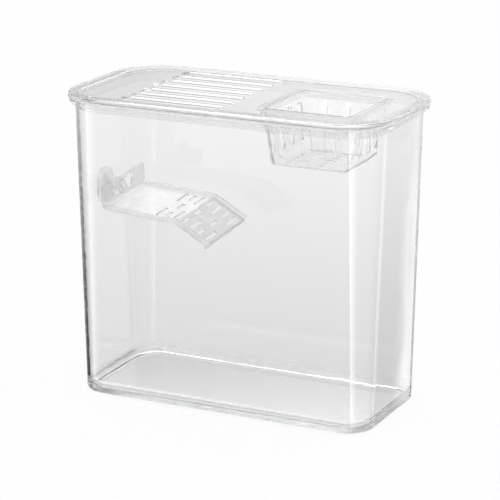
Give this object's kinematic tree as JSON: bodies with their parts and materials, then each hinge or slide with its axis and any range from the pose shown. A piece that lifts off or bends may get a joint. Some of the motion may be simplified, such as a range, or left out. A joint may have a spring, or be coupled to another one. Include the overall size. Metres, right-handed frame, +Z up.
{
  "type": "turtle tank",
  "caption": "Clear plastic turtle tank with a lift-off vented lid, a hanging slotted basket and a basking platform with a ramp on a suction cup.",
  "frame": {"origin": "centre of the tank's footprint, on the surface that it stands on", "axes": "+X along the long side towards the basket, +Z up, front at -Y, platform on the -X wall"},
  "size_m": [0.3236, 0.1722, 0.29],
  "materials": {
    "tank_clear": "clear, polished",
    "lid_clear": "clear, polished",
    "basket_clear": "clear, polished",
    "platform_clear": "clear, lightly frosted on the treads",
    "cup_clear": "soft clear PVC"
  },
  "bodies": {
    "tank": {"tank": "tank_clear"},
    "lid": {"lid": "lid_clear"},
    "basket": {"basket": "basket_clear"},
    "suction_cup": {"suction_cup": "cup_clear"},
    "basking_platform": {"basking_platform": "platform_clear"}
  },
  "joints": [
    {"name": "lid_lift", "type": "slide", "parent": "tank", "child": "lid", "axis": [0, 0, 1], "range_m": [0, 0.12]},
    {"name": "basket_lift", "type": "slide", "parent": "lid", "child": "basket", "axis": [0, 0, 1], "range_m": [0, 0.08]},
    {"name": "cup_height", "type": "slide", "parent": "tank", "child": "suction_cup", "axis": [-0.0253, 0, 0.9997], "range_m": [-0.06, 0.035]},
    {"name": "platform_swivel", "type": "hinge", "parent": "suction_cup", "child": "basking_platform", "pos_m": [-0.14977, -0.0058, 0.1887], "axis": [0.9997, 0, 0.0253], "range_deg": [-50, 14]}
  ]
}
